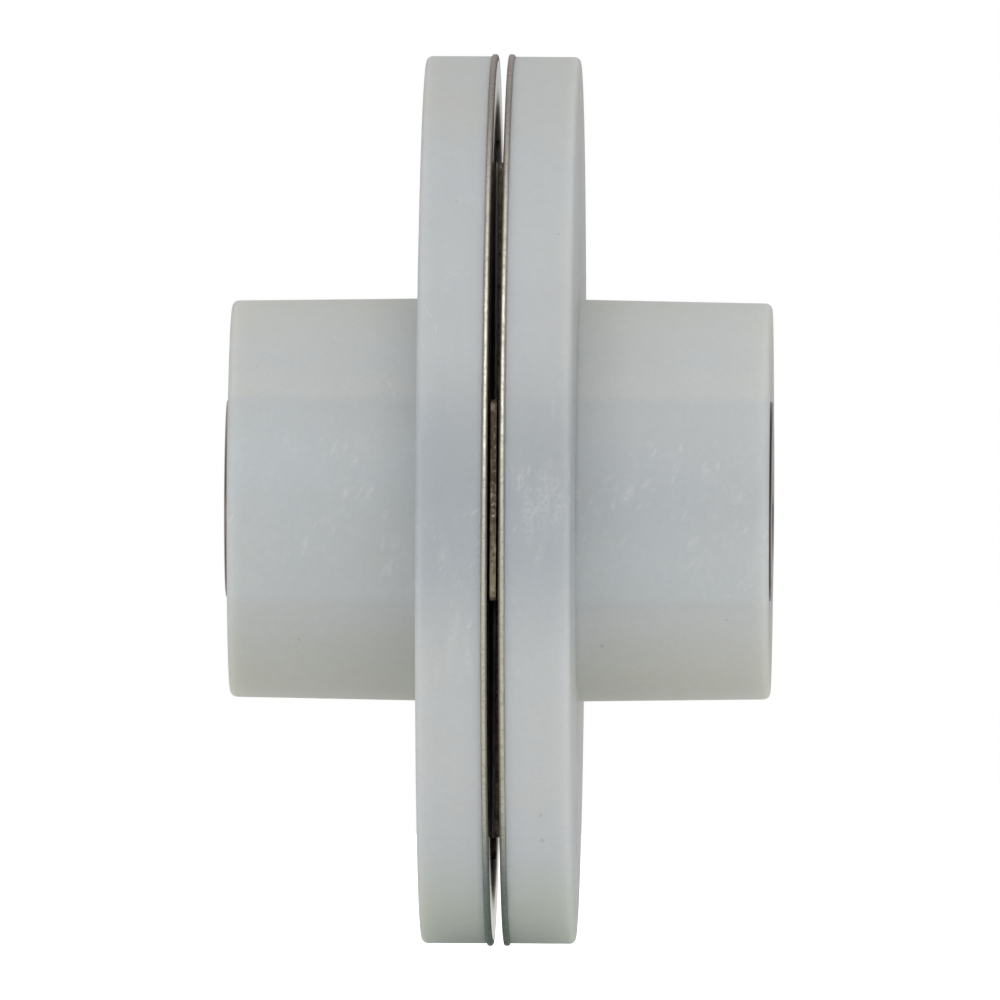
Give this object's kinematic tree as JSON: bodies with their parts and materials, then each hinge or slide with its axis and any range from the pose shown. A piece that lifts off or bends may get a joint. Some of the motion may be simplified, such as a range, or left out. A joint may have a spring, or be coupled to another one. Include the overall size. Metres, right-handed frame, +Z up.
{
  "type": "oldham coupling",
  "caption": "Flanged Oldham shaft coupling: moulded hubs with steel bore inserts and thin steel face plates either side of a floating cross slider.",
  "frame": {"origin": "on the shaft axis, midway between the two face plates", "axes": "+X along the shaft axis towards the right half, +Z up along the left key's slot, +Y to the rear along the right key's slot"},
  "size_m": [0.0273, 0.0446, 0.0446],
  "materials": {
    "natural_nylon": "milky natural nylon, satin, slightly translucent",
    "insert_steel": "turned free-cutting steel",
    "plate_steel": "rolled stainless sheet with a blanked edge",
    "cross_plate_steel": "spring steel sheet, sheared edge",
    "white_acetal": "machined acetal",
    "rivet_steel": "plain steel rivet",
    "black_oxide_steel": "black oxide"
  },
  "bodies": {
    "left_half": {"left_hub": "natural_nylon", "left_bore_insert": "insert_steel", "left_face_plate": "plate_steel", "left_plate_rivet_front": "rivet_steel", "left_plate_rivet_rear": "rivet_steel"},
    "slider": {"slider_cross_plate": "cross_plate_steel", "slider_key_left": "white_acetal", "slider_key_right": "white_acetal", "key_rivet_top": "rivet_steel", "key_rivet_bottom": "rivet_steel", "key_rivet_front": "rivet_steel", "key_rivet_rear": "rivet_steel", "slider_centre_rivets": "rivet_steel"},
    "right_half": {"right_hub": "natural_nylon", "right_bore_insert": "insert_steel", "right_face_plate": "plate_steel", "right_plate_rivet_top": "rivet_steel", "right_plate_rivet_bottom": "rivet_steel"},
    "left_screw_upper": {"left_set_screw_upper": "black_oxide_steel"},
    "left_screw_lower": {"left_set_screw_lower": "black_oxide_steel"},
    "right_screw_upper": {"right_set_screw_upper": "black_oxide_steel"},
    "right_screw_lower": {"right_set_screw_lower": "black_oxide_steel"}
  },
  "joints": [
    {"name": "slider_slide", "type": "slide", "parent": "left_half", "child": "slider", "axis": [0, 0, 1], "range_m": [-0.001, 0.001]},
    {"name": "right_half_slide", "type": "slide", "parent": "slider", "child": "right_half", "axis": [0, 1, 0], "range_m": [-0.001, 0.001]},
    {"name": "left_screw_upper_travel", "type": "slide", "parent": "left_half", "child": "left_screw_upper", "axis": [0, 0.7071, 0.7071], "range_m": [-0.00015, 0.0015]},
    {"name": "left_screw_lower_travel", "type": "slide", "parent": "left_half", "child": "left_screw_lower", "axis": [0, 0.7071, -0.7071], "range_m": [-0.00015, 0.0015]},
    {"name": "right_screw_upper_travel", "type": "slide", "parent": "right_half", "child": "right_screw_upper", "axis": [0, 0.7071, 0.7071], "range_m": [-0.00015, 0.0015]},
    {"name": "right_screw_lower_travel", "type": "slide", "parent": "right_half", "child": "right_screw_lower", "axis": [0, 0.7071, -0.7071], "range_m": [-0.00015, 0.0015]}
  ]
}
